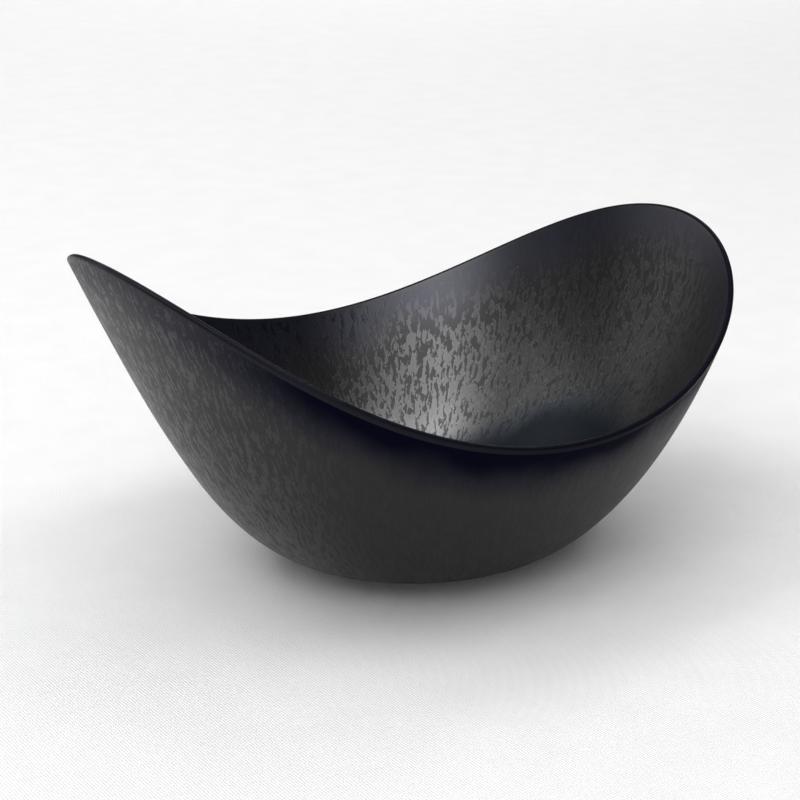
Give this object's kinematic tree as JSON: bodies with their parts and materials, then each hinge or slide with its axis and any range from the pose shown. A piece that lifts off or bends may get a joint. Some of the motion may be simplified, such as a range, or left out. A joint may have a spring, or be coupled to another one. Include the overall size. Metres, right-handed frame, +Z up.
{
  "type": "saddle-rimmed stoneware bowl",
  "caption": "Oval glazed stoneware bowl with a saddle rim that sweeps up to a raised tip at each end, on a small turned foot ring.",
  "frame": {"origin": "centre of the foot ring's resting face", "axes": "+Z up out of the bowl, +X along the oval towards its lower tip"},
  "size_m": [0.2799, 0.1956, 0.145],
  "materials": {
    "stoneware": "matte",
    "dark_glaze": "satin",
    "lip_black": "satin"
  },
  "bodies": {
    "root": {"stoneware_body": "stoneware", "foot_ring": "stoneware", "outer_glaze": "dark_glaze", "inner_glaze": "dark_glaze", "lip": "lip_black", "foot_well_glaze": "dark_glaze"}
  },
  "joints": []
}
